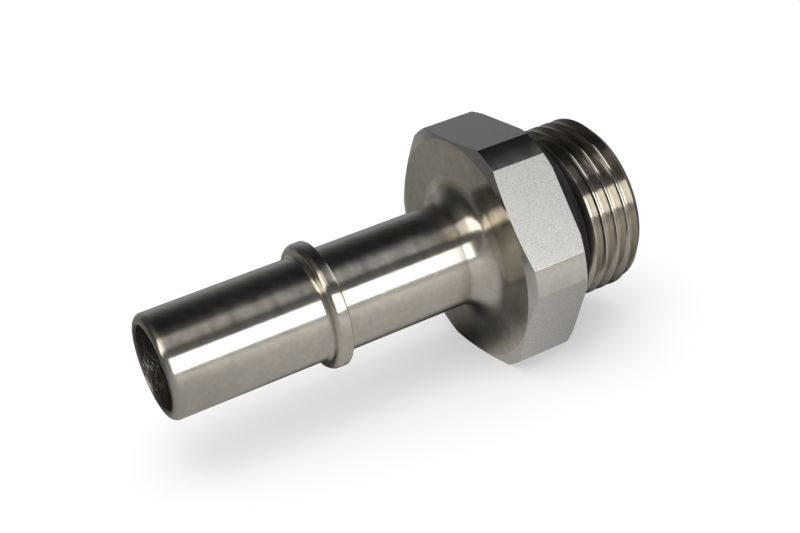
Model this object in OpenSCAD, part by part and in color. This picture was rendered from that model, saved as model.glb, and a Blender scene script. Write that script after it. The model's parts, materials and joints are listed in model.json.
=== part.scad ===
// Quick connect adapter, turned and milled from one bar of stainless steel.
// A smooth tube stem takes a push-on coupling, which latches behind its bead. Behind the
// hexagon a straight thread screws into a port, and an O-ring in the neck seals the port.
// The axis is +X, from the nose to the threaded end. The origin is on the axis, in the plane
// of the hexagon's rear face, which seats on the port.

/* [Stem] */
// Outside diameter of the stem, and of the shank behind the bead
stem_d = 15.8; // [14.5:0.1:16.5]
// Diameter of the bore that runs right through
bore_d = 12.7; // [9:0.1:13.2]
// Radius of the round on the nose
nose_round = 1.1; // [0.2:0.1:1.2]
// Length of the smooth stem, from the nose to the front face of the bead
stem_l = 24.1; // [18:0.1:32]
// Length of the shank, from the rear face of the bead to the hexagon
shank_l = 24.1; // [15:0.1:40]
// Radius of the fillet between the shank and the hexagon
shank_fillet = 3.9; // [1:0.1:6]

/* [Bead] */
// Diameter of the bead
bead_d = 19.1; // [18:0.1:20.5]
// Length of the bead between its faces
bead_l = 2.4; // [1.6:0.1:4]
// Radius of the round on the bead's front edge
bead_round = 1; // [0.2:0.1:1]
// Radius of the fillet at the foot of the bead's front face
bead_fillet = 0.6; // [0.2:0.1:1]
// Break on the bead's rear edge
bead_break = 0.3; // [0.05:0.05:0.4]

/* [Hexagon] */
// Diameter of the bar that the hexagon's corners keep
bar_d = 38.1; // [37:0.1:40]
// Distance across the hexagon's flats
hex_af = 34.925; // [33.5:0.005:36]
// Length of the hexagon
hex_l = 9.6; // [7:0.1:16]
// Diameter of the flat disc on the hexagon's front face
disc_d = 34.4; // [30:0.1:36.5]
// Slope of the front chamfer, measured from the face
front_slope = 17; // [10:1:35]
// Diameter of the flat on the hexagon's rear face
seat_d = 36.4; // [33:0.1:36.8]
// Slope of the rear chamfer, measured from the face
rear_slope = 30; // [10:1:35]

/* [Thread] */
// Outside diameter of the thread
thread_d = 26.99; // [26.4:0.01:28.5]
// Pitch of the thread, twelve turns to the inch
pitch = 2.117; // [1.8:0.001:2.3]
// Depth of the thread
thread_depth = 1.2; // [0.8:0.05:1.3]
// Diameter of the neck between the hexagon and the thread
neck_d = 24.3; // [23.6:0.1:25]
// Length of the neck
neck_l = 3.9; // [3.5:0.1:5]
// Length from the hexagon's rear face to the threaded end
stud_l = 14.3; // [12:0.1:20]
// Height of the 45 degree chamfer on the threaded end
end_chamfer = 1.5; // [0.5:0.1:2]
// Break on the two mouths of the bore
mouth_break = 0.25; // [0.1:0.05:0.5]

/* [Seal] */
// Thickness of the O-ring
ring_t = 2.95; // [2.5:0.05:3.2]
// Clearance between the O-ring and the neck
ring_clear = 0.05; // [0.02:0.01:0.2]

/* [Hidden] */
$fn = 120;
// How far a cutting or joining shape reaches past what it cuts or joins
lap = 0.01;
flats = 6;
stem_r = stem_d / 2;
bead_r = bead_d / 2;
// The fillet ends where the round on the bead's front edge begins
bead_fillet_r = min(bead_fillet, bead_r - stem_r - bead_round);
bar_r = bar_d / 2;
disc_r = disc_d / 2;
seat_r = seat_d / 2;
neck_r = neck_d / 2;
thread_r = thread_d / 2;
bore_r = bore_d / 2;
hex_x = -hex_l;
bead_rear_x = hex_x - shank_l;
bead_front_x = bead_rear_x - bead_l;
nose_x = bead_front_x - stem_l;
front_chamfer_l = (bar_r - disc_r) * tan(front_slope);
rear_chamfer_l = (bar_r - seat_r) * tan(rear_slope);
lead_l = thread_r - neck_r;
flank_angle = 30;
crest_l = pitch / 8;
root_l = pitch - crest_l - 2 * thread_depth * tan(flank_angle);
// How far the groove's section reaches past the outside of the thread
groove_rise = 0.1;
groove_half = root_l / 2 + (thread_depth + groove_rise) * tan(flank_angle);
// How far the groove starts from the hexagon's rear face, where the neck leaves it nothing to cut
groove_clear = 0.3;
groove_x = groove_clear + groove_half;
groove_turns = ceil((stud_l + groove_half - groove_x) / pitch);
groove_steps = 48;
ring_r = neck_r + ring_clear + ring_t / 2;
ring_x = neck_l / 2;

// Turns a profile about the X axis. In the profile, x is the radius and y the place on the axis.
module turned() {
  rotate([0, 90, 0]) rotate_extrude() children();
}

// What lies between a square corner and a quarter circle of radius r inside it
module corner(r) {
  difference() {
    translate([-lap, -lap]) square(r + lap);
    translate([r, r]) circle(r);
  }
}

// Outline of the bar after turning, from the nose to the threaded end
module bar_profile() {
  polygon([
    [0, nose_x],
    [stem_r, nose_x],
    [stem_r, hex_x],
    [disc_r, hex_x],
    [bar_r, hex_x + front_chamfer_l],
    [bar_r, -rear_chamfer_l],
    [seat_r, 0],
    [neck_r, 0],
    [neck_r, neck_l],
    [thread_r, neck_l + lead_l],
    [thread_r, stud_l - end_chamfer],
    [thread_r - end_chamfer, stud_l],
    [0, stud_l]
  ]);
}

// The collar that the coupling latches behind
module bead_profile() {
  difference() {
    polygon([
      [0, bead_front_x],
      [bead_r, bead_front_x],
      [bead_r, bead_rear_x - bead_break],
      [bead_r - bead_break, bead_rear_x],
      [0, bead_rear_x]
    ]);
    translate([bead_r, bead_front_x]) mirror([1, 0]) corner(bead_round);
  }
  translate([stem_r, bead_front_x]) mirror([0, 1]) corner(bead_fillet_r);
}

// The bar as it leaves the lathe, still round where the hexagon will be
module turned_bar() {
  turned() {
    difference() {
      bar_profile();
      translate([stem_r, nose_x]) mirror([1, 0]) corner(nose_round);
    }
    bead_profile();
    translate([stem_r, hex_x]) mirror([0, 1]) corner(shank_fillet);
  }
}

// Bore with a small break at each mouth
module bore() {
  turned() {
    polygon([
      [0, nose_x - lap],
      [bore_r + mouth_break + lap, nose_x - lap],
      [bore_r, nose_x + mouth_break],
      [bore_r, stud_l - mouth_break],
      [bore_r + mouth_break + lap, stud_l + lap],
      [0, stud_l + lap]
    ]);
  }
}

// What the cutter takes off the bar to leave six flats, the first of them on top
module flat_cuts() {
  for (i = [0 : flats - 1])
    rotate([360 / flats * i, 0, 0])
      translate([hex_x - lap, -bar_r, hex_af / 2])
        cube([hex_l + 2 * lap, bar_d, bar_r]);
}

// The groove that the threading tool cuts, right-handed, from the neck to past the end
module thread_groove() {
  section = [
    [-groove_half, thread_r + groove_rise],
    [groove_half, thread_r + groove_rise],
    [root_l / 2, thread_r - thread_depth],
    [-root_l / 2, thread_r - thread_depth]
  ];
  corners = len(section);
  steps = groove_turns * groove_steps;
  points = [
    for (i = [0 : steps], p = section)
      let (angle = 360 * i / groove_steps)
        [groove_x + pitch * i / groove_steps + p[0], -p[1] * sin(angle), p[1] * cos(angle)]
  ];
  sides = [
    for (i = [0 : steps - 1], j = [0 : corners - 1])
      let (a = i * corners + j, b = i * corners + (j + 1) % corners)
        each [[a, b, b + corners], [a, b + corners, a + corners]]
  ];
  first_end = [for (j = [corners - 1 : -1 : 0]) j];
  last_end = [for (j = [0 : corners - 1]) steps * corners + j];
  polyhedron(points, concat([first_end], sides, [last_end]));
}

module adapter_body() {
  color([0.66, 0.65, 0.62])
    difference() {
      turned_bar();
      flat_cuts();
      bore();
      thread_groove();
    }
}

module o_ring() {
  color([0.07, 0.07, 0.08])
    turned() translate([ring_r, ring_x]) circle(d = ring_t);
}

adapter_body();
o_ring();
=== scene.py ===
"""Dresses a stainless steel quick connect adapter: its turned body with a hexagon and a cut thread, and the
O-ring in its neck. Lengths are in millimetres until a finished mesh is scaled to the frame's metres."""
import json
import logging
import math
from dataclasses import dataclass
from enum import Enum
from typing import Any, Iterable, Sequence

import bmesh
import bpy
from mathutils import Matrix, Vector


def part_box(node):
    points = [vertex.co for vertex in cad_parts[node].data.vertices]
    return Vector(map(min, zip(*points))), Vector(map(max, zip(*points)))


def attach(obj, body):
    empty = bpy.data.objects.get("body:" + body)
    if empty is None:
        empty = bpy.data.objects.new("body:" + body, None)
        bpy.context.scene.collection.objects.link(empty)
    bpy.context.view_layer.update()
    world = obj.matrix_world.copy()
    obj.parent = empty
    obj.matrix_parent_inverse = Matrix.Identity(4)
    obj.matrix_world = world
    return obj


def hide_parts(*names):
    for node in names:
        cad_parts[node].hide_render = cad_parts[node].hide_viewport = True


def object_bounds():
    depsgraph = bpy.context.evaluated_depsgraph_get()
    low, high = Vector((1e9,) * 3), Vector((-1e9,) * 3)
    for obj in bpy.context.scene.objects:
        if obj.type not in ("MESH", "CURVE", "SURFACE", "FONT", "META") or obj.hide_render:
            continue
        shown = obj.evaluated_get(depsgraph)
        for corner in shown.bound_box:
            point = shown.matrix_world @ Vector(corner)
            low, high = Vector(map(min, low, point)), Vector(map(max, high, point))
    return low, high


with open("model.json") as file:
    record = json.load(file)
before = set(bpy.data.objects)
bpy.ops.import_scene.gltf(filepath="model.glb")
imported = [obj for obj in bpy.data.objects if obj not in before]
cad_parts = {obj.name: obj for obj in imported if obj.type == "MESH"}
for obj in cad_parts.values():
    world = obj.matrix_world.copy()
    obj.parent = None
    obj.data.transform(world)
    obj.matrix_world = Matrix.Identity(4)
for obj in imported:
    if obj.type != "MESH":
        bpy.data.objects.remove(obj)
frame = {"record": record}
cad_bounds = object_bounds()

MM = 0.001
FULL_TURN = 2 * math.pi
AXIS = Vector((1, 0, 0))
BODY = "root"
LOG = logging.getLogger("adapter")
# How far two lengths, or a part of a normal and 0, may differ and still count as the same
NEAR = 0.01
# The least part of a normal along the axis for its face to count as square to the axis
SQUARE = 0.99
# How near corners lie to a cutting plane to be on it, and to each other to be one
ON_PLANE = 1e-5
ONE_CORNER = 1e-4

Rgb = tuple[float, float, float]
Direction = tuple[float, float, float]
Pair = tuple[float, float]
Stops = tuple[Pair, ...]
Feed = float | bpy.types.NodeSocket

STEEL: Rgb = (0.62, 0.59, 0.53)
WHITE: Rgb = (1.0, 1.0, 1.0)
BLACK: Rgb = (0.0, 0.0, 0.0)


class Slot(Enum):
    """The record's material slots."""

    STEEL = "steel"
    RUBBER = "seal_rubber"


class Zone(Enum):
    """The machined zones of the body, in the order of its materials."""

    TURNED = 0
    MILLED = 1
    BORED = 2
    THREADED = 3
    FACED = 4
    BARREL = 5


@dataclass(frozen=True)
class Corner:
    """One corner of a turned outline, with how far and in how many steps it is rounded."""

    x: float
    r: float
    rounding: float = 0.0
    steps: int = 1


def mount(name: str) -> dict[str, Any]:
    """Finds one of the part's interfaces.

    Args:
        name: what the record calls it.

    Returns:
        Its entry in the record.
    """
    return next(m for m in frame["record"]["mounts"] if m["name"] == name)


def draw_outline(points: Iterable[Sequence[float]]) -> bmesh.types.BMesh:
    """Draws a closed outline in the plane of the axis.

    Args:
        points: place along the axis and radius of each corner.

    Returns:
        The outline, as vertices joined by edges.
    """
    sketch = bmesh.new()
    verts = [sketch.verts.new((x, 0, r)) for x, r in points]
    for start, end in zip(verts, verts[1:] + verts[:1]):
        sketch.edges.new((start, end))
    return sketch


def turn(sketch: bmesh.types.BMesh, segments: int) -> None:
    """Turns a closed outline once round the axis, into a closed shell that faces outwards.

    Args:
        sketch: the outline, which becomes the shell.
        segments: how many steps the turn takes.
    """
    bmesh.ops.spin(
        sketch, geom=sketch.verts[:] + sketch.edges[:], cent=(0, 0, 0), axis=AXIS,
        angle=FULL_TURN, steps=segments, use_merge=True,
    )
    bmesh.ops.recalc_face_normals(sketch, faces=sketch.faces[:])


def mark_edges(shell: bmesh.types.BMesh, limit_deg: float) -> None:
    """Shades a shell smooth, apart from the edges that are sharper than a limit.

    Args:
        shell: the mesh to mark.
        limit_deg: the least angle of a sharp edge, in degrees.
    """
    limit = math.radians(limit_deg)
    for face in shell.faces:
        face.smooth = True
    for edge in shell.edges:
        edge.smooth = edge.calc_face_angle(0.0) < limit


def add_piece(shell: bmesh.types.BMesh, name: str) -> bpy.types.Object:
    """Makes a mesh an object of the scene.

    Args:
        shell: the mesh, which is freed.
        name: name of the object.

    Returns:
        The object, at the frame's origin.
    """
    mesh = bpy.data.meshes.new(name)
    shell.to_mesh(mesh)
    shell.free()
    piece = bpy.data.objects.new(name, mesh)
    bpy.context.scene.collection.objects.link(piece)
    return piece


def place(shell: bmesh.types.BMesh, name: str, node: str) -> bpy.types.Object:
    """Scales a shell to metres and puts it in the frame in place of a solid.

    Args:
        shell: the finished mesh in millimetres, which is freed.
        name: name of the new piece.
        node: the solid that it stands for.

    Returns:
        The piece, at the frame's origin.
    """
    bmesh.ops.scale(shell, vec=(MM, MM, MM), verts=shell.verts[:])
    piece = add_piece(shell, name)
    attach(piece, BODY)
    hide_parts(node)
    return piece


def hold_planes(piece: bpy.types.Object) -> None:
    """Keeps wide faces looking true beside narrow rounds, by weighting normals with area.

    Args:
        piece: the piece to finish.
    """
    weighting = piece.modifiers.new("true_planes", "WEIGHTED_NORMAL")
    weighting.mode = "FACE_AREA"
    weighting.keep_sharp = True


class NodeSheet:
    """Adds and joins the nodes of one material or world."""

    def __init__(self, tree: bpy.types.NodeTree) -> None:
        """Starts from an empty tree."""
        self.tree = tree
        self.tree.nodes.clear()

    def add(self, kind: str, feeds: dict[str | int, Any] | None = None, **options: Any) -> bpy.types.Node:
        """Adds a node.

        Args:
            kind: the node's type, without its prefix.
            feeds: a value or a socket for each input, by the input's name or place.
            **options: the node's own settings.

        Returns:
            The new node.
        """
        node = self.tree.nodes.new("ShaderNode" + kind)
        for name, value in options.items():
            setattr(node, name, value)
        for key, value in (feeds or {}).items():
            if isinstance(value, bpy.types.NodeSocket):
                self.tree.links.new(value, node.inputs[key])
            else:
                node.inputs[key].default_value = value
        return node

    def math(self, operation: str, *values: Feed) -> bpy.types.NodeSocket:
        """Works out one number from others.

        Args:
            operation: the Math node's operation.
            *values: its inputs, in order.

        Returns:
            The result.
        """
        return self.add("Math", dict(enumerate(values)), operation=operation).outputs[0]

    def spread(self, value: Feed, old: Pair, new: Pair, soft: bool = False) -> bpy.types.NodeSocket:
        """Moves a number from one range to another, and holds it there.

        Args:
            value: the number.
            old: the range that it comes from.
            new: the range that it goes to.
            soft: whether the ends ease in and out.

        Returns:
            The number in its new range.
        """
        feeds = {0: value, 1: old[0], 2: old[1], 3: new[0], 4: new[1]}
        easing = "SMOOTHSTEP" if soft else "LINEAR"
        return self.add("MapRange", feeds, interpolation_type=easing).outputs[0]

    def blend_colours(self, factor: Feed, first: Any, second: Any) -> bpy.types.NodeSocket:
        """Mixes two colours.

        Args:
            factor: share of the second colour.
            first: a colour, or the socket that gives it.
            second: a colour, or the socket that gives it.

        Returns:
            The mixed colour.
        """
        return self.add("Mix", {0: factor, 6: first, 7: second}, data_type="RGBA").outputs[2]

    def tinted(self, factor: Feed, colour: Rgb, shares: Pair) -> bpy.types.NodeSocket:
        """Runs from one share of a colour to another.

        Args:
            factor: 0 where the colour has its first share and 1 where it has its second.
            colour: the colour itself.
            shares: the two shares of its brightness.

        Returns:
            The colour in its shares.
        """
        return self.blend_colours(factor, tone(colour, shares[0]), tone(colour, shares[1]))

    def noise(self, place_on: bpy.types.NodeSocket, rate: float = 1.0, detail: float = 2.0,
              flat: bool = False) -> bpy.types.NodeSocket:
        """Adds a smooth random pattern.

        Args:
            place_on: the coordinates, or the single number where flat is set.
            rate: how many times the pattern changes in one unit.
            detail: how many finer layers it has.
            flat: whether it runs along a single number.

        Returns:
            The pattern, about 0.5 on average.
        """
        where = "W" if flat else "Vector"
        feeds = {where: place_on, "Scale": rate, "Detail": detail}
        return self.add("TexNoise", feeds, noise_dimensions="1D" if flat else "3D").outputs[0]

    def bump(self, height: bpy.types.NodeSocket, depth: float,
             under: bpy.types.NodeSocket | None = None) -> bpy.types.NodeSocket:
        """Presses a pattern into the surface.

        Args:
            height: the pattern, from 0 to 1.
            depth: its full depth in millimetres.
            under: the normal of a pattern below it.

        Returns:
            The new normal.
        """
        feeds: dict[str | int, Any] = {"Height": height, "Distance": depth * MM}
        if under is not None:
            feeds["Normal"] = under
        return self.add("Bump", feeds).outputs[0]


class MetalSheet(NodeSheet):
    """The nodes that the steel finishes share: a place in millimetres, and a metal surface."""

    def __init__(self, material: bpy.types.Material) -> None:
        """Reads the surface's place in the object.

        Args:
            material: the material that the nodes go into.
        """
        super().__init__(material.node_tree)
        metres = self.add("TexCoord").outputs["Object"]
        self.spot = self.add("VectorMath", {0: metres, "Scale": 1 / MM}, operation="SCALE").outputs[0]
        axes = self.add("SeparateXYZ", {0: self.spot}).outputs
        across = self.add("CombineXYZ", {1: axes[1], 2: axes[2]}).outputs[0]
        radius = self.add("VectorMath", {0: across}, operation="LENGTH").outputs["Value"]
        self.feed = self.math("ADD", axes[0], radius)
        self.round = self.add("VectorMath", {0: AXIS, 1: self.spot}, operation="CROSS_PRODUCT").outputs[0]

    def stretched(self, rates: Pair) -> bpy.types.NodeSocket:
        """Gives coordinates that run at one rate along the axis and at another across it.

        Args:
            rates: the rate along the axis and the rate across it.

        Returns:
            The coordinates.
        """
        scale = (rates[0], rates[1], rates[1])
        return self.add("VectorMath", {0: self.spot, 1: scale}, operation="MULTIPLY").outputs[0]

    def metal(self, feeds: dict[str | int, Any]) -> None:
        """Ends the sheet with a metal surface.

        Args:
            feeds: the surface's inputs, by name.
        """
        surface = self.add("BsdfPrincipled", {"Metallic": 1.0, **feeds})
        self.add("OutputMaterial", {"Surface": surface.outputs[0]})


def new_material(name: str) -> bpy.types.Material:
    """Makes a material with nodes.

    Args:
        name: what it is called.

    Returns:
        The material.
    """
    material = bpy.data.materials.new(name)
    material.use_nodes = True
    return material


def tone(colour: Rgb, share: float = 1.0) -> tuple[float, float, float, float]:
    """Scales a colour and gives it the fourth value that a socket needs."""
    return (colour[0] * share, colour[1] * share, colour[2] * share, 1.0)


def about(middle: float, change: float) -> Pair:
    """Gives the range that runs from a change below its middle to the same above it."""
    return (middle - change, middle + change)


def in_metres(lengths: Iterable[float]) -> tuple[float, ...]:
    """Turns millimetres into metres."""
    return tuple(length * MM for length in lengths)


@dataclass(frozen=True)
class TurnedFinish:
    """Steel as a lathe tool leaves it: bright, with fine rings round the axis and a few smudges."""

    name: str = "turned_steel"
    colour: Rgb = STEEL
    roughness: float = 0.19
    roughness_change: float = 0.05
    stretch: float = 0.9
    stretch_turn: float = 0.25
    ring_rate: float = 5.0
    ring_depth: float = 0.0016
    band_rate: float = 0.55
    cloud_rates: Pair = (0.35, 0.2)
    smudge_rate: float = 1.1
    smudge_depth: float = 0.004
    stain: float = 0.08
    stain_span: Pair = (0.7, 1.3)
    wear_span: Pair = (0.6, 1.4)

    def material(self) -> bpy.types.Material:
        """Makes the material.

        Returns:
            Metal whose gloss is drawn out across its rings.
        """
        material = new_material(self.name)
        sheet = MetalSheet(material)
        rings = sheet.noise(sheet.feed, self.ring_rate, detail=3.0, flat=True)
        bands = sheet.noise(sheet.feed, self.band_rate, detail=3.0, flat=True)
        clouds = sheet.noise(sheet.stretched(self.cloud_rates), detail=4.0)
        smudges = sheet.noise(sheet.spot, self.smudge_rate, detail=4.0)
        wear = sheet.math("ADD", bands, clouds)
        marks = sheet.spread(sheet.math("ADD", clouds, smudges), self.stain_span, (0, 1))
        ringed = sheet.bump(rings, self.ring_depth)
        sheet.metal({
            "Base Color": sheet.tinted(marks, self.colour, about(1, self.stain)),
            "Roughness": sheet.spread(wear, self.wear_span, about(self.roughness, self.roughness_change)),
            "Anisotropic": self.stretch,
            "Anisotropic Rotation": self.stretch_turn,
            "Tangent": sheet.round,
            "Normal": sheet.bump(smudges, self.smudge_depth, ringed),
        })
        return material


@dataclass(frozen=True)
class MilledFinish:
    """Steel as a milling cutter leaves it: even and pale, with a fine dark grain."""

    name: str = "milled_steel"
    colour: Rgb = (0.675, 0.667, 0.645)
    shares: Pair = (0.82, 1.06)
    roughness: float = 0.36
    roughness_change: float = -0.05
    grain_rate: float = 5.5
    grain_depth: float = 0.01
    grain_span: Pair = (0.3, 0.7)
    pit_span: Pair = (0.36, 0.58)
    scuff_rates: Pair = (2.2, 0.5)
    scuff_depth: float = 0.004

    def material(self) -> bpy.types.Material:
        """Makes the material.

        Returns:
            Metal with a soft gloss and a grain that catches the light.
        """
        material = new_material(self.name)
        sheet = MetalSheet(material)
        grain = sheet.noise(sheet.spot, self.grain_rate, detail=3.0)
        pits = sheet.spread(grain, self.pit_span, (0, 1), soft=True)
        scuffs = sheet.noise(sheet.stretched(self.scuff_rates), detail=3.0)
        scuffed = sheet.bump(scuffs, self.scuff_depth)
        sheet.metal({
            "Base Color": sheet.tinted(pits, self.colour, self.shares),
            "Roughness": sheet.spread(grain, self.grain_span, about(self.roughness, self.roughness_change)),
            "Normal": sheet.bump(grain, self.grain_depth, scuffed),
        })
        return material


@dataclass(frozen=True)
class BoredFinish:
    """Steel as a drill leaves it: torn and streaked round the bore, and darkened inside by painted shade."""

    name: str = "bored_steel_painted_shade"
    colour: Rgb = STEEL
    # Painted shade: the bore's colour is 0.4 to 0.8 of the steel's, varied at random by the tears
    shares: Pair = (0.4, 0.8)
    roughness: float = 0.3
    score_rates: Pair = (3.0, 0.7)
    score_depth: float = 0.05
    tear_rates: Pair = (2.2, 1.3)
    tear_depth: float = 0.07

    def material(self) -> bpy.types.Material:
        """Makes the material.

        Returns:
            Rough metal with scores round the bore and torn spots, darkened by painted shade.
        """
        material = new_material(self.name)
        sheet = MetalSheet(material)
        scores = sheet.noise(sheet.stretched(self.score_rates), detail=3.0)
        tears = sheet.noise(sheet.stretched(self.tear_rates), detail=4.0)
        scored = sheet.bump(scores, self.score_depth)
        sheet.metal({
            # Painted shade darkens the bore's colour
            "Base Color": sheet.tinted(tears, self.colour, self.shares),
            "Roughness": self.roughness,
            "Normal": sheet.bump(tears, self.tear_depth, scored),
        })
        return material


@dataclass(frozen=True)
class RubberFinish:
    """Smooth black rubber."""

    name: str = "seal_rubber"
    colour: Rgb = (0.008, 0.008, 0.009)
    shares: Pair = (0.7, 1.5)
    roughness: float = 0.5
    roughness_change: float = 0.06
    sheen: float = 0.25
    bloom_rate: float = 0.4
    bloom_span: Pair = (0.3, 0.7)
    skin_rate: float = 6.0
    skin_depth: float = 0.004

    def material(self) -> bpy.types.Material:
        """Makes the material.

        Returns:
            Black rubber with a slight bloom.
        """
        material = new_material(self.name)
        sheet = NodeSheet(material.node_tree)
        spot = sheet.add("TexCoord").outputs["Object"]
        bloom = sheet.noise(spot, self.bloom_rate / MM, detail=3.0)
        surface = sheet.add("BsdfPrincipled", {
            "Base Color": sheet.tinted(bloom, self.colour, self.shares),
            "Roughness": sheet.spread(bloom, self.bloom_span, about(self.roughness, self.roughness_change)),
            "Specular IOR Level": self.sheen,
            "Normal": sheet.bump(sheet.noise(spot, self.skin_rate / MM), self.skin_depth),
        })
        sheet.add("OutputMaterial", {"Surface": surface.outputs[0]})
        return material


@dataclass
class AdapterBody:
    """The one-piece body, from the nose at nose_x to the threaded end at end_x.

    Its hexagon seats at x = 0, and its sizes are in millimetres.
    """

    nose_x: float
    end_x: float
    stem_r: float
    bore_r: float
    bar_r: float
    flat_r: float
    thread_r: float
    nose_round: float = 1.1
    mouth_break: float = 0.25
    bead_front_x: float = -36.1
    bead_l: float = 2.4
    bead_r: float = 9.55
    bead_round: float = 1.0
    bead_fillet: float = 0.6
    bead_break: float = 0.3
    foot_round: float = 0.15
    shank_fillet: float = 3.9
    hex_l: float = 9.6
    disc_r: float = 17.2
    front_slope_deg: float = 17.0
    seat_r: float = 18.2
    rear_slope_deg: float = 30.0
    neck_l: float = 3.9
    neck_r: float = 12.15
    end_chamfer: float = 1.5
    pitch: float = 2.117
    thread_depth: float = 1.2
    flank_deg: float = 30.0
    groove_clear: float = 0.3
    groove_rise: float = 0.1
    # The flat crests of the solid's thread are the pitch over this
    flat_crest_part: float = 8.0
    crest_l: float = 0.36
    crest_round: float = 0.09
    crest_steps: int = 3
    crest_lift: float = 0.004
    lip_share: float = 0.25
    flats: int = 6
    edge_break: float = 0.06
    segments: int = 300
    sharp_deg: float = 13.0

    def outline(self) -> list[Corner]:
        """Lists the corners of the turned bar, from the nose's mouth to the far one.

        Returns:
            The corners in order, with their rounding.
        """
        nose, end, hexagon = self.nose_x, self.end_x, -self.hex_l
        bead_front, bead_rear = self.bead_front_x, self.bead_front_x + self.bead_l
        mouth_r = self.bore_r + self.mouth_break
        front_chamfer = (self.bar_r - self.disc_r) * math.tan(math.radians(self.front_slope_deg))
        rear_chamfer = (self.bar_r - self.seat_r) * math.tan(math.radians(self.rear_slope_deg))
        lead_x = self.neck_l + self.thread_r - self.neck_r
        return [
            Corner(nose, mouth_r),
            Corner(nose, self.stem_r, self.nose_round, steps=9),
            Corner(bead_front, self.stem_r, self.bead_fillet, steps=7),
            Corner(bead_front, self.bead_r, self.bead_round, steps=9),
            Corner(bead_rear, self.bead_r, self.bead_break, steps=4),
            Corner(bead_rear, self.stem_r, self.foot_round, steps=2),
            Corner(hexagon, self.stem_r, self.shank_fillet, steps=18),
            Corner(hexagon, self.disc_r),
            Corner(hexagon + front_chamfer, self.bar_r, self.edge_break, steps=2),
            Corner(-rear_chamfer, self.bar_r, self.edge_break, steps=2),
            Corner(0, self.seat_r),
            Corner(0, self.neck_r, self.foot_round, steps=2),
            Corner(self.neck_l, self.neck_r),
            Corner(lead_x, self.thread_r),
            Corner(end - self.end_chamfer, self.thread_r),
            Corner(end, self.thread_r - self.end_chamfer),
            Corner(end, mouth_r),
            Corner(end - self.mouth_break, self.bore_r),
            Corner(nose + self.mouth_break, self.bore_r),
        ]

    def turned_bar(self) -> bmesh.types.BMesh:
        """Turns the bar with its bore, as it leaves the lathe before the thread is cut.

        Returns:
            A closed shell.
        """
        corners = self.outline()
        bar = draw_outline((c.x, c.r) for c in corners)
        for vert, corner in zip(bar.verts[:], corners):
            if corner.rounding:
                bmesh.ops.bevel(
                    bar, geom=[vert], offset=corner.rounding, offset_type="OFFSET", segments=corner.steps,
                    profile=0.5, affect="VERTICES", material=-1,
                )
        turn(bar, self.segments)
        return bar

    def mill_flats(self, bar: bmesh.types.BMesh) -> None:
        """Takes the flats off the bar, the first of them on top, and breaks their edges.

        Args:
            bar: the turned bar.
        """
        rims = []
        for index in range(self.flats):
            outward = Matrix.Rotation(FULL_TURN / self.flats * index, 3, AXIS) @ Vector((0, 0, 1))
            cut = bmesh.ops.bisect_plane(
                bar, geom=bar.verts[:] + bar.edges[:] + bar.faces[:], dist=ON_PLANE,
                plane_co=outward * self.flat_r, plane_no=outward, clear_outer=True,
            )
            rim = [item for item in cut["geom_cut"] if isinstance(item, bmesh.types.BMEdge)]
            bmesh.ops.edgeloop_fill(bar, edges=rim)
            rims += rim
        bmesh.ops.bevel(
            bar, geom=rims, offset=self.edge_break, offset_type="OFFSET", segments=2, profile=0.5,
            affect="EDGES", material=-1, clamp_overlap=True,
        )

    def flank_slope(self) -> float:
        """Works out how far a flank of the thread runs along the axis while it rises by one."""
        return math.tan(math.radians(self.flank_deg))

    def groove_section(self) -> list[Pair]:
        """Draws the threading tool's section.

        It has a flat root, two flanks, and the rounds that the tool leaves on the crests.

        Returns:
            Place along the axis, from the middle of the root, and radius of each corner.
        """
        slope = self.flank_slope()
        half_top = (self.pitch - self.crest_l) / 2
        half_root = half_top - self.thread_depth * slope
        centre_x = half_top + self.crest_round * slope
        centre_r = self.thread_r - self.crest_round
        side = [(half_root, self.thread_r - self.thread_depth)]
        for step in range(self.crest_steps, 0, -1):
            turned = math.radians((90 - self.flank_deg) / self.crest_steps * step)
            back, up = self.crest_round * math.sin(turned), self.crest_round * math.cos(turned)
            side.append((centre_x - back, centre_r + up))
        lip_x = centre_x + self.crest_round * self.lip_share
        side += [(lip_x, self.thread_r + self.crest_lift), (lip_x, self.thread_r + self.groove_rise)]
        return [(-x, r) for x, r in reversed(side)] + side

    def groove(self) -> bmesh.types.BMesh:
        """Winds the groove's section round the axis, from the neck to past the end.

        It starts where the groove of the solid does, so that both threads run alike.

        Returns:
            The metal that the thread tool takes out, as a closed shell.
        """
        section = self.groove_section()
        flat_crest_l = self.pitch / self.flat_crest_part
        reach = (self.pitch - flat_crest_l) / 2 + self.groove_rise * self.flank_slope()
        start_x = self.groove_clear + reach
        helix = draw_outline((start_x + x, r) for x, r in section)
        turns = math.ceil((self.end_x + reach - start_x) / self.pitch)
        bmesh.ops.spin(
            helix, geom=helix.verts[:] + helix.edges[:], cent=(0, 0, 0), axis=AXIS,
            dvec=AXIS * (self.pitch / self.segments), angle=FULL_TURN * turns, steps=self.segments * turns,
            use_merge=False,
        )
        bmesh.ops.edgeloop_fill(helix, edges=[e for e in helix.edges if e.is_boundary])
        bmesh.ops.recalc_face_normals(helix, faces=helix.faces[:])
        return helix

    def cut_thread(self, bar: bmesh.types.BMesh) -> bmesh.types.BMesh:
        """Takes the groove out of the bar.

        Args:
            bar: the milled bar, which is freed.

        Returns:
            The threaded body.
        """
        blank, tool = add_piece(bar, "blank"), add_piece(self.groove(), "tool")
        cut = blank.modifiers.new("thread", "BOOLEAN")
        cut.operation = "DIFFERENCE"
        cut.solver = "EXACT"
        cut.object = tool
        graph = bpy.context.evaluated_depsgraph_get()
        threaded = bmesh.new()
        threaded.from_object(blank, graph)
        for holder in (blank, tool):
            mesh = holder.data
            bpy.data.objects.remove(holder)
            bpy.data.meshes.remove(mesh)
        bmesh.ops.remove_doubles(threaded, verts=threaded.verts[:], dist=ONE_CORNER)
        return threaded

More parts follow.
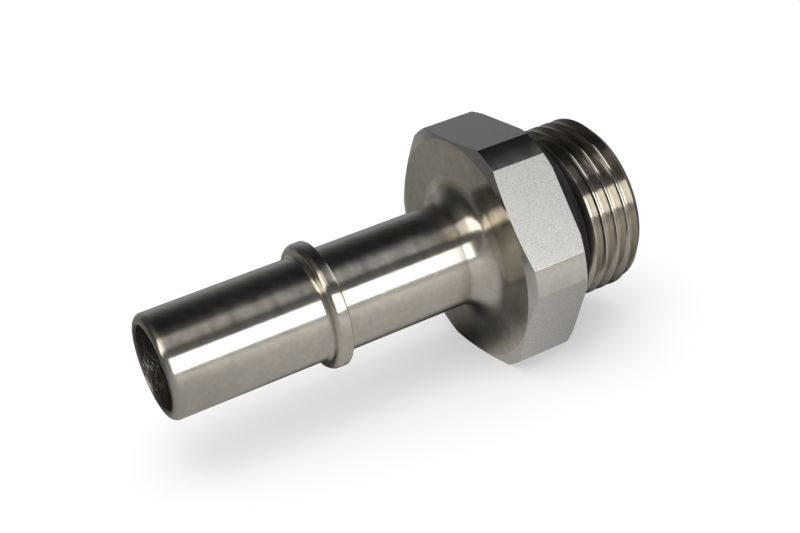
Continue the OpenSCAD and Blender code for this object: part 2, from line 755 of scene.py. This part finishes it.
    def zone_of(self, face: bmesh.types.BMFace) -> Zone:
        """Tells how a face was machined.

        Args:
            face: a face of the body, in millimetres.

        Returns:
            Its zone.
        """
        centre = face.calc_center_median()
        radius = math.hypot(centre.y, centre.z)
        if radius < self.bore_r + self.mouth_break / 2:
            return Zone.BORED
        if abs(face.normal.dot(centre) - self.flat_r) < NEAR and abs(face.normal.x) < NEAR:
            return Zone.MILLED
        if centre.x > self.neck_l and radius > self.neck_r:
            return Zone.THREADED
        if face.normal.x < -SQUARE and abs(centre.x + self.hex_l) < NEAR:
            return Zone.FACED
        if centre.x > -self.hex_l and radius > self.neck_r:
            return Zone.BARREL
        return Zone.TURNED

    def build(self) -> bpy.types.Object:
        """Makes the body: turned, milled and threaded.

        Returns:
            The finished piece.
        """
        bar = self.turned_bar()
        self.mill_flats(bar)
        body = self.cut_thread(bar)
        for face in body.faces:
            face.material_index = self.zone_of(face).value
        mark_edges(body, self.sharp_deg)
        piece = place(body, "adapter_body_machined", "adapter_body")
        hold_planes(piece)
        return piece

    def dress(self, piece: bpy.types.Object) -> None:
        """Gives each zone its finish.

        Args:
            piece: the finished body.
        """
        finishes = {
            Zone.TURNED: TurnedFinish(),
            Zone.MILLED: MilledFinish(),
            Zone.BORED: BoredFinish(),
            Zone.THREADED: TurnedFinish(
                name="threaded_steel", colour=(0.555, 0.517, 0.457), roughness=0.13, roughness_change=0.03,
                stretch=0.6, ring_depth=0.0008, smudge_depth=0.002,
            ),
            Zone.BARREL: TurnedFinish(
                name="barrel_steel", colour=(0.58, 0.57, 0.54), roughness=0.15, roughness_change=0.03,
                stretch=0.5, ring_depth=0.001, smudge_depth=0.002,
            ),
            # The front face's darker, browner colour is painted shade, a shaded copy of the steel; its rings
            # and stains are the facing's own
            Zone.FACED: TurnedFinish(
                name="faced_steel_painted_shade", colour=(0.55, 0.515, 0.445), roughness=0.2, roughness_change=0.06,
                ring_rate=3.0, ring_depth=0.003, smudge_rate=0.6, smudge_depth=0.01, stain=0.14,
            ),
        }
        for zone in Zone:
            piece.data.materials.append(finishes[zone].material())


@dataclass
class SealRing:
    """The O-ring in the neck, a plain round section."""

    centre_x: float
    centre_r: float
    section_r: float
    section_steps: int = 32
    segments: int = 160
    sharp_deg: float = 60.0

    def build(self) -> bpy.types.Object:
        """Makes the ring.

        Returns:
            The finished piece.
        """
        ring = bmesh.new()
        upright = Matrix.Rotation(FULL_TURN / 4, 3, "X")
        bmesh.ops.create_circle(ring, cap_ends=False, segments=self.section_steps, radius=self.section_r)
        bmesh.ops.rotate(ring, verts=ring.verts[:], cent=(0, 0, 0), matrix=upright)
        bmesh.ops.translate(ring, verts=ring.verts[:], vec=(self.centre_x, 0, self.centre_r))
        turn(ring, self.segments)
        mark_edges(ring, self.sharp_deg)
        return place(ring, "o_ring_moulded", "o_ring")

    def dress(self, piece: bpy.types.Object) -> None:
        """Gives the ring its rubber."""
        piece.data.materials.append(RubberFinish().material())


@dataclass(frozen=True)
class SoftBox:
    """A panel of the studio, measured where it shows on a plane one unit away from the part."""

    facing: Direction
    across: Direction
    width: Pair
    height: Pair
    brightness: float
    colour: Rgb
    width_blur: float
    height_blur: float

    def up(self) -> Direction:
        """Works out the direction of the panel's height."""
        return tuple(Vector(self.facing).cross(Vector(self.across)))


@dataclass(frozen=True)
class Shade:
    """A painted shadow of the part: a soft dark oval drawn on the mirrored table, in millimetres."""

    x: float
    y: float
    reach_x: float
    reach_y: float
    depth: float

    def draw(self, sheet: NodeSheet, spot: bpy.types.NodeSocket) -> bpy.types.NodeSocket:
        """Works out how much of the table's painted glow it leaves.

        Args:
            sheet: the table's nodes.
            spot: the place on the table.

        Returns:
            1 outside the oval, and least in its middle.
        """
        centre = (self.x * MM, self.y * MM, 0)
        aside = sheet.add("VectorMath", {0: spot, 1: centre}, operation="SUBTRACT").outputs[0]
        scale = (1 / self.reach_x / MM, 1 / self.reach_y / MM, 0)
        scaled = sheet.add("VectorMath", {0: aside, 1: scale}, operation="MULTIPLY").outputs[0]
        away = sheet.add("VectorMath", {0: scaled}, operation="LENGTH").outputs["Value"]
        return sheet.spread(away, (0, 1), (1 - self.depth, 1), soft=True)


@dataclass(frozen=True)
class CameraStand:
    """Where the camera stands. Azimuth 0 looks along +Y; lengths are in millimetres."""

    azimuth_deg: float = -24.92
    elevation_deg: float = 24.6
    roll_deg: float = -10.215
    distance: float = 210.5
    target: tuple[float, float, float] = (-20.54, 0.0, 0.96)
    lens: float = 64.14
    nearest: float = 10.0

    def pose(self) -> Matrix:
        """Works out where the camera is and how it is turned.

        Returns:
            The camera's matrix in metres.
        """
        azimuth, elevation = math.radians(self.azimuth_deg), math.radians(self.elevation_deg)
        level = math.cos(elevation)
        back = Vector((math.sin(azimuth) * level, -math.cos(azimuth) * level, math.sin(elevation)))
        unrolled = (-back).cross(Vector((0, 0, 1))).normalized()
        right = Matrix.Rotation(math.radians(self.roll_deg), 3, back) @ unrolled
        up = back.cross(right)
        turned = Matrix((right, up, back)).transposed().to_4x4()
        spot = (Vector(self.target) + back * self.distance) * MM
        return Matrix.Translation(spot) @ turned


@dataclass
class Studio:
    """The floor, the mirrored table with painted floor light and shadow, the light and the camera. Lengths
    are in millimetres.
    """

    floor_z: float
    floor_radius: float = 1500.0
    floor_segments: int = 96
    floor_colour: Rgb = (0.9, 0.9, 0.9)
    # How white the camera sees the floor near the part, and where it goes over to full white
    floor_glow: float = 0.4
    floor_fade: Pair = (180.0, 600.0)
    # Brightness by the angle round the axis, which is 0 overhead, 90 in front and -90 behind
    right_tones: Stops = (
        (-180, 0.3), (-95, 0.3), (-90, 0.36), (-75, 0.28), (-60, 0.13), (-48, 0.055), (-38, 0.025),
        (-28, 0.012), (-12, 0.01), (0, 0.035), (12, 0.07), (42, 0.09), (54, 0.16), (80, 0.3), (88, 0.58),
        (180, 0.58),
    )
    right_colour: Rgb = (0.99, 1.0, 1.01)
    left_tones: Stops = (
        (-180, 0.3), (-90, 0.13), (-75, 0.05), (-60, 0.035), (-45, 0.035), (-30, 0.06), (-15, 0.12),
        (0, 0.18), (15, 0.22), (38, 0.15), (50, 0.14), (70, 0.16), (90, 0.17), (180, 0.17),
    )
    left_colour: Rgb = (1.0, 0.96, 0.88)
    # Where the direction along the axis goes over from the left tones to the right ones
    side_span: Pair = (-0.5, 0.1)
    # Where the right tones dim at their end, and the share that they keep there
    end_span: Pair = (0.55, 0.85)
    end_share: float = 0.3
    boxes: tuple[SoftBox, ...] = (
        # In front
        SoftBox(
            facing=(0, -1, 0), across=(1, 0, 0), width=(-0.3, 0.69), height=(0.03, 0.65),
            brightness=2.45, colour=(1.0, 1.0, 0.99), width_blur=0.1, height_blur=0.02,
        ),
        # Overhead, past the nose
        SoftBox(
            facing=(0, 0, 1), across=(-0.989, 0.148, 0), width=(0.7, 6.0), height=(0.15, 0.87),
            brightness=2.1, colour=(1.0, 0.93, 0.84), width_blur=0.14, height_blur=0.09,
        ),
        # Overhead, above the stem
        SoftBox(
            facing=(0, 0, 1), across=(-0.989, 0.148, 0), width=(-0.22, 0.8), height=(0.2, 0.8),
            brightness=0.95, colour=(1.0, 0.93, 0.83), width_blur=0.12, height_blur=0.1,
        ),
        # Overhead, past the threaded end
        SoftBox(
            facing=(0, 0, 1), across=(-1, 0, 0), width=(-4.0, -0.74), height=(-0.12, 0.64),
            brightness=2.2, colour=(1.0, 1.0, 0.98), width_blur=0.05, height_blur=0.08,
        ),
        # A dim one between the last two
        SoftBox(
            facing=(0, 0, 1), across=(-1, 0, 0), width=(-0.65, -0.05), height=(0.22, 0.6),
            brightness=0.18, colour=(0.95, 1.0, 1.08), width_blur=0.2, height_blur=0.14,
        ),
    )
    table_x: float = -9.6
    table_tilt_deg: float = 10.7
    # Painted brightness of the mirrored table by the distance behind the axis, which is below 0 in front of
    # it: the floor's light in front, and the part's painted shadow in the dark stops just behind the axis
    table_tones: Stops = (
        (-300, 0.6), (-150, 0.73), (-80, 0.79), (-64, 0.76), (-48, 0.69), (-32, 0.6), (-20, 0.53), (-8, 0.48),
        (-3, 0.42), (0, 0.22), (8, 0.18), (30, 0.23), (64, 0.29), (140, 0.36), (300, 0.36),
    )
    table_colour: Rgb = (1.0, 0.975, 0.93)
    # Where along the axis the table dims to its left and right shares, and how far the right limit leans. The
    # right dimming is painted shade from the hexagon and the thread.
    table_left: Pair = (-100.0, -40.0)
    table_left_share: float = 0.45
    table_right: Pair = (4.0, 18.0)
    table_right_share: float = 0.4
    table_lean: float = 0.55
    # Painted shadows of the part on the mirrored table: under the hexagon and the thread, along the hexagon's
    # front edge, and under the stem
    painted_shadows: tuple[Shade, ...] = (
        Shade(x=15, y=6, reach_x=29, reach_y=38, depth=0.9),
        Shade(x=-8, y=5, reach_x=16, reach_y=12, depth=0.95),
        Shade(x=-38, y=3, reach_x=38, reach_y=8, depth=0.75),
    )
    lamp_size: float = 500.0
    lamp_energy: float = 1.2
    lamp_spot: tuple[float, float, float] = (-100.0, -150.0, 600.0)
    stand: CameraStand = CameraStand()

    def lay_disc(self, name: str, x: float = 0.0, tilt_deg: float = 0.0) -> bpy.types.Object:
        """Lays a wide round sheet at the floor's height.

        Args:
            name: name of the sheet.
            x: place of its middle along the axis.
            tilt_deg: how far it is tipped about the level line across the axis.

        Returns:
            The sheet.
        """
        disc = bmesh.new()
        radius = self.floor_radius * MM
        tilt = Matrix.Rotation(math.radians(tilt_deg), 3, "Y")
        bmesh.ops.create_circle(disc, cap_ends=True, segments=self.floor_segments, radius=radius)
        bmesh.ops.rotate(disc, verts=disc.verts[:], cent=(0, 0, 0), matrix=tilt)
        bmesh.ops.translate(disc, verts=disc.verts[:], vec=(x * MM, 0, self.floor_z * MM))
        return add_piece(disc, name)

    def lay_floor(self) -> None:
        """Lays a pale floor with the part's shadow on it, which the camera sees fade to white far off."""
        piece = self.lay_disc("floor")
        material = new_material("pale_floor")
        sheet = NodeSheet(material.node_tree)
        paper = sheet.add("BsdfDiffuse", {"Color": tone(self.floor_colour)})
        white = sheet.add("Emission", {"Color": tone(WHITE)})
        spot = sheet.add("TexCoord").outputs["Object"]
        away = sheet.add("VectorMath", {0: spot}, operation="LENGTH").outputs["Value"]
        share = sheet.spread(away, in_metres(self.floor_fade), (self.floor_glow, 1), soft=True)
        seen = sheet.math("MULTIPLY", sheet.add("LightPath").outputs["Is Camera Ray"], share)
        surface = sheet.add("MixShader", {0: seen, 1: paper.outputs[0], 2: white.outputs[0]})
        sheet.add("OutputMaterial", {"Surface": surface.outputs[0]})
        piece.data.materials.append(material)
        piece.visible_glossy = False

    def lay_table(self) -> None:
        """Lays the table that the metal mirrors, glowing with painted floor light and with the part's own
        shadow painted on it.

        Only glossy surfaces see it, and it casts no shadow.
        """
        piece = self.lay_disc("table", self.table_x, self.table_tilt_deg)
        material = new_material("painted_table_reflection")
        sheet = NodeSheet(material.node_tree)
        spot = sheet.add("TexCoord").outputs["Object"]
        axes = sheet.add("SeparateXYZ", {0: spot}).outputs
        behind = sheet.math("DIVIDE", axes[1], MM)
        tones = self.grade(sheet, behind, self.table_tones, self.table_colour)
        ahead = sheet.math("MULTIPLY", sheet.math("MINIMUM", axes[1], 0.0), self.table_lean)
        leaning = sheet.math("ADD", axes[0], ahead)
        share = sheet.math(
            "MULTIPLY",
            sheet.spread(axes[0], in_metres(self.table_left), (self.table_left_share, 1)),
            sheet.spread(leaning, in_metres(self.table_right), (1, self.table_right_share)),
        )
        # The part's painted shadows darken the table's glow
        for shade in self.painted_shadows:
            share = sheet.math("MULTIPLY", share, shade.draw(sheet, spot))
        # Painted light: the table glows with its tones, dimmed by its shares and painted shadows, and is no
        # lamp
        glow = sheet.add("Emission", {"Color": tones, "Strength": share})
        sheet.add("OutputMaterial", {"Surface": glow.outputs[0]})
        piece.data.materials.append(material)
        piece.visible_camera = False
        piece.visible_diffuse = False
        piece.visible_shadow = False

    def panel(self, sheet: NodeSheet, box: SoftBox, direction: bpy.types.NodeSocket) -> bpy.types.NodeSocket:
        """Works out where one panel shows.

        Args:
            sheet: the world's nodes.
            box: the panel.
            direction: the direction looked in.

        Returns:
            1 on the panel and 0 beside it.
        """
        ahead, across, up = (
            sheet.add("VectorMath", {0: direction, 1: axis}, operation="DOT_PRODUCT").outputs["Value"]
            for axis in (box.facing, box.across, box.up())
        )
        shows = sheet.math("GREATER_THAN", ahead, 0.0)
        for value, span, blur in ((across, box.width, box.width_blur), (up, box.height, box.height_blur)):
            place_on = sheet.math("DIVIDE", value, ahead)
            starts = sheet.spread(place_on, (span[0] - blur, span[0] + blur), (0, 1), soft=True)
            ends = sheet.spread(place_on, (span[1] - blur, span[1] + blur), (1, 0), soft=True)
            shows = sheet.math("MULTIPLY", shows, sheet.math("MULTIPLY", starts, ends))
        return shows

    def grade(self, sheet: NodeSheet, value: bpy.types.NodeSocket, stops: Stops,
              colour: Rgb) -> bpy.types.NodeSocket:
        """Grades a brightness along one measure.

        Args:
            sheet: the nodes that it goes into.
            value: the measure.
            stops: the measure and the brightness at each stop. The first is as far from 0 as the last.
            colour: the tint.

        Returns:
            The colour.
        """
        reach = stops[-1][0]
        ramp = sheet.add("ValToRGB", {0: sheet.spread(value, (-reach, reach), (0, 1))})
        marks = ramp.color_ramp.elements
        while len(marks) < len(stops):
            marks.new(0.5)
        for mark, (at, brightness) in zip(marks, stops):
            mark.position = at / reach / 2 + 0.5
            mark.color = tone(colour, brightness)
        return ramp.outputs[0]

    def light_world(self) -> None:
        """Surrounds the part with white light, and shows glossy surfaces a graded room with panels."""
        world = bpy.data.worlds.new("studio")
        world.use_nodes = True
        bpy.context.scene.world = world
        sheet = NodeSheet(world.node_tree)
        direction = sheet.add("TexCoord").outputs["Generated"]
        axes = sheet.add("SeparateXYZ", {0: direction}).outputs
        turned = sheet.math("ARCTAN2", sheet.math("MULTIPLY", axes[1], -1.0), axes[2])
        angle = sheet.math("DEGREES", turned)
        left = self.grade(sheet, angle, self.left_tones, self.left_colour)
        right = self.grade(sheet, angle, self.right_tones, self.right_colour)
        end = sheet.spread(axes[0], self.end_span, (0, 1))
        right = sheet.blend_colours(sheet.math("MULTIPLY", end, 1 - self.end_share), right, tone(BLACK))
        light = sheet.blend_colours(sheet.spread(axes[0], self.side_span, (0, 1)), left, right)
        for box in reversed(self.boxes):
            shows = self.panel(sheet, box, direction)
            light = sheet.blend_colours(shows, light, tone(box.colour, box.brightness))
        rays = sheet.add("LightPath").outputs
        mirrored = sheet.math("MAXIMUM", rays["Is Glossy Ray"], rays["Is Transmission Ray"])
        seen = sheet.blend_colours(mirrored, tone(WHITE), light)
        background = sheet.add("Background", {"Color": seen, "Strength": 1.0})
        sheet.add("OutputWorld", {"Surface": background.outputs[0]})

    def hang_lamp(self) -> None:
        """Hangs one wide lamp, which gives the floor its shadow but doesn't show in the metal."""
        lamp = bpy.data.lights.new("overhead", "AREA")
        lamp.shape = "DISK"
        lamp.size = self.lamp_size * MM
        lamp.energy = self.lamp_energy
        holder = bpy.data.objects.new("overhead", lamp)
        holder.location = in_metres(self.lamp_spot)
        holder.rotation_euler = (-holder.location).to_track_quat("-Z", "Y").to_euler()
        holder.visible_glossy = False
        bpy.context.scene.collection.objects.link(holder)

    def set_camera(self) -> None:
        """Stands the camera where the photograph was taken from."""
        data = bpy.data.cameras.new("camera")
        data.lens = self.stand.lens
        data.clip_start = self.stand.nearest * MM
        camera = bpy.data.objects.new("camera", data)
        camera.matrix_world = self.stand.pose()
        bpy.context.scene.collection.objects.link(camera)
        bpy.context.scene.camera = camera

    def build(self) -> None:
        """Sets the whole studio up."""
        self.set_camera()
        self.lay_floor()
        self.lay_table()
        self.light_world()
        self.hang_lamp()
        bpy.context.scene.view_settings.view_transform = "Standard"


def adapter_body() -> AdapterBody:
    """Sizes the body from the frame.

    Returns:
        The body, with its outer sizes and fits taken from the solids and their interfaces.
    """
    low, high = (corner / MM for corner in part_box("adapter_body"))
    return AdapterBody(
        nose_x=low.x,
        end_x=high.x,
        stem_r=mount("stem")["dims"]["r_mm"],
        bore_r=mount("through_bore")["dims"]["r_mm"],
        bar_r=to_hundredth(high.y),
        flat_r=mount("wrench_flat_top")["pos_m"][2] / MM,
        thread_r=mount("port_thread")["dims"]["r_mm"],
    )


def to_hundredth(size: float) -> float:
    """Rounds a size that is read from a faceted solid to a hundredth of a millimetre."""
    return round(size, 2)


def seal_ring() -> SealRing:
    """Sizes the ring from the frame.

    Returns:
        The ring, as its solid lies.
    """
    low, high = (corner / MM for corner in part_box("o_ring"))
    section_r = (high.x - low.x) / 2
    return SealRing(centre_x=(low.x + high.x) / 2, centre_r=high.z - section_r, section_r=section_r)


def main() -> None:
    """Builds the studio and the part."""
    logging.basicConfig(level=logging.INFO, format="%(name)s: %(message)s")
    Studio(floor_z=cad_bounds[0].z / MM).build()
    for assembly in (adapter_body(), seal_ring()):
        piece = assembly.build()
        assembly.dress(piece)
        LOG.info("%s: %d faces", piece.name, len(piece.data.polygons))


if __name__ == "__main__":
    main()
